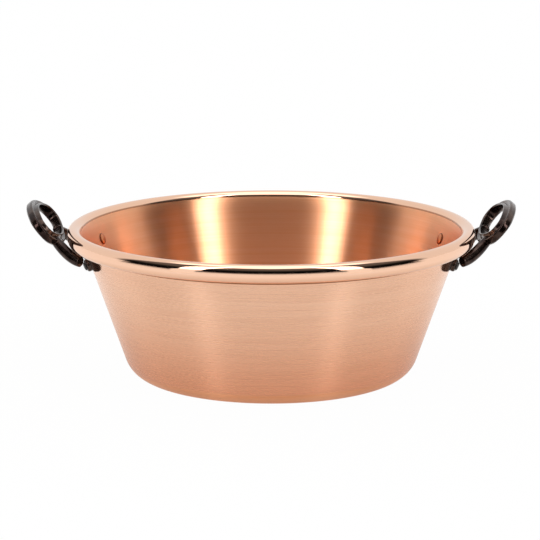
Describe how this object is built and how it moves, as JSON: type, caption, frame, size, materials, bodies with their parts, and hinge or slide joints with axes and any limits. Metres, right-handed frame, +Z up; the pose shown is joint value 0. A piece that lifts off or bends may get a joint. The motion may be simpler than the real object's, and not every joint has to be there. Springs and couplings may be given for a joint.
{
  "type": "jam pan",
  "caption": "Wide round copper jam pan with a flared wall, flat base and rolled rim, and an upright cast iron ring handle riveted on each side.",
  "frame": {"origin": "middle of the flat base's resting face, which is also the bottom centre of the bounding box", "axes": "+Z up along the pan's axis, handles on +X and -X, -Y the side that faces the viewer in the picture"},
  "size_m": [0.4542, 0.3798, 0.1636],
  "materials": {
    "copper": "satin turned copper, polished on the rolled rim",
    "iron": "dark glossy cast iron",
    "rivet": "copper rivet heads, slightly darker than the sheet"
  },
  "bodies": {
    "root": {"pan_body": "copper", "left_handle": "iron", "right_handle": "iron", "left_handle_rivets": "rivet", "right_handle_rivets": "rivet"}
  },
  "joints": []
}
